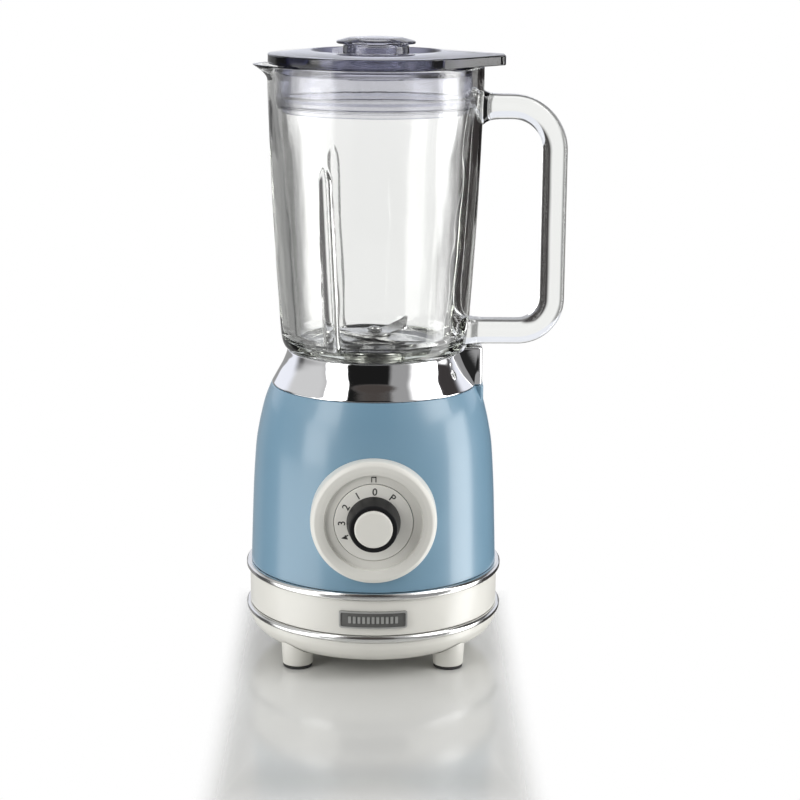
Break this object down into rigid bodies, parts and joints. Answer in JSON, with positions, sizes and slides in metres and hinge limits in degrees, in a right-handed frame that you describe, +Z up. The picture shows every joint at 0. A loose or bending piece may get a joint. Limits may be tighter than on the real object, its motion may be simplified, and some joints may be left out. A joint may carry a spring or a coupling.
{
  "type": "countertop blender",
  "caption": "Countertop blender: glass jug with a loop handle, smoked lid and measuring cap, on a painted bell-shaped motor base with chrome trim and a front speed dial.",
  "frame": {"origin": "centre of the object's footprint at worktop level, under the feet; the drive axis stands 20 mm to -X and 8 mm to +Y of it", "axes": "+Z up, the long way; -Y is the front with the dial; +X is the side of the jug handle and -X the side of the spout"},
  "size_m": [0.2167, 0.192, 0.4194],
  "materials": {
    "clear_glass": "clear pressed glass",
    "smoked_plastic": "smoky transparent",
    "clear_silicone": "translucent",
    "stainless": "satin",
    "grey_plastic": "matt",
    "bronze": "sintered",
    "black_rubber": "matt",
    "black_plastic": "satin",
    "chrome": "mirror",
    "blue_paint": "satin metallic",
    "cream_plastic": "gloss",
    "dial_face": "satin with numerals",
    "badge_metal": "satin",
    "laminated_steel": "dull",
    "copper": "enamelled wire",
    "cast_alloy": "cast",
    "carbon": "matt"
  },
  "bodies": {
    "housing": {"chrome_collar": "chrome", "seat_ring": "black_rubber", "body_shell": "blue_paint", "motor_platform": "grey_plastic", "upper_trim_ring": "chrome", "base_band": "cream_plastic", "lower_trim_ring": "chrome", "base_pan": "cream_plastic", "badge_plate": "badge_metal", "cable_gland": "black_rubber", "dial_bezel": "cream_plastic", "switch_body": "black_plastic", "interlock_spring": "stainless", "microswitch": "black_plastic", "upper_bearing": "bronze", "lower_bearing": "bronze", "upper_bracket": "cast_alloy", "lower_bracket": "cast_alloy", "stator_core": "laminated_steel", "field_coil_left": "copper", "field_coil_right": "copper", "brush_left": "carbon", "brush_right": "carbon", "foot_front_left": "cream_plastic", "foot_pad_front_left": "black_rubber", "pan_screw_front_left": "stainless", "foot_front_right": "cream_plastic", "foot_pad_front_right": "black_rubber", "pan_screw_front_right": "stainless", "foot_back_left": "cream_plastic", "foot_pad_back_left": "black_rubber", "pan_screw_back_left": "stainless", "foot_back_right": "cream_plastic", "foot_pad_back_right": "black_rubber", "pan_screw_back_right": "stainless"},
    "jug": {"jug_glass": "clear_glass", "blade_housing": "stainless", "blade_gasket": "clear_silicone", "retaining_nut": "grey_plastic", "blade_bushing": "bronze", "shaft_seal": "black_rubber"},
    "blades": {"blade_shaft": "stainless", "blade_lower": "stainless", "blade_upper": "stainless", "blade_nut": "stainless", "jug_coupling": "black_plastic"},
    "lid": {"lid": "smoked_plastic", "lid_seal": "clear_silicone"},
    "cap": {"measuring_cap": "smoked_plastic"},
    "rotor": {"drive_coupling": "black_plastic", "motor_shaft": "stainless", "rotor_core": "laminated_steel", "rotor_winding": "copper", "commutator": "copper", "cooling_fan": "black_plastic"},
    "knob": {"dial_disc": "dial_face", "knob_barrel": "black_plastic", "knob_cap": "cream_plastic", "switch_shaft": "stainless"},
    "plunger": {"interlock_plunger": "grey_plastic"}
  },
  "joints": [
    {"name": "jug_lift", "type": "slide", "parent": "housing", "child": "jug", "axis": [0, 0, 1], "range_m": [0, 0.12]},
    {"name": "lid_lift", "type": "slide", "parent": "jug", "child": "lid", "axis": [0, 0, 1], "range_m": [0, 0.16]},
    {"name": "cap_lift", "type": "slide", "parent": "lid", "child": "cap", "axis": [0, 0, 1], "range_m": [0, 0.07]},
    {"name": "motor_spin", "type": "hinge", "parent": "housing", "child": "rotor", "pos_m": [-0.02, 0.008, 0.15], "axis": [0, 0, 1], "continuous": true},
    {"name": "blade_spin", "type": "hinge", "parent": "jug", "child": "blades", "pos_m": [-0.02, 0.008, 0.2], "axis": [0, 0, 1], "continuous": true},
    {"name": "speed_dial", "type": "hinge", "parent": "housing", "child": "knob", "pos_m": [-0.02, -0.082, 0.111], "axis": [0, 1, 0], "range_deg": [-32, 120]},
    {"name": "interlock_press", "type": "slide", "parent": "housing", "child": "plunger", "axis": [0, 0, 1], "range_m": [-0.002, 0], "stiffness_N_per_m": 600, "springref_m": 0.003, "deforming": ["interlock_spring"]}
  ],
  "couplings": [
    {"joint": "blade_spin", "follows": "motor_spin", "ratio": 1}
  ]
}
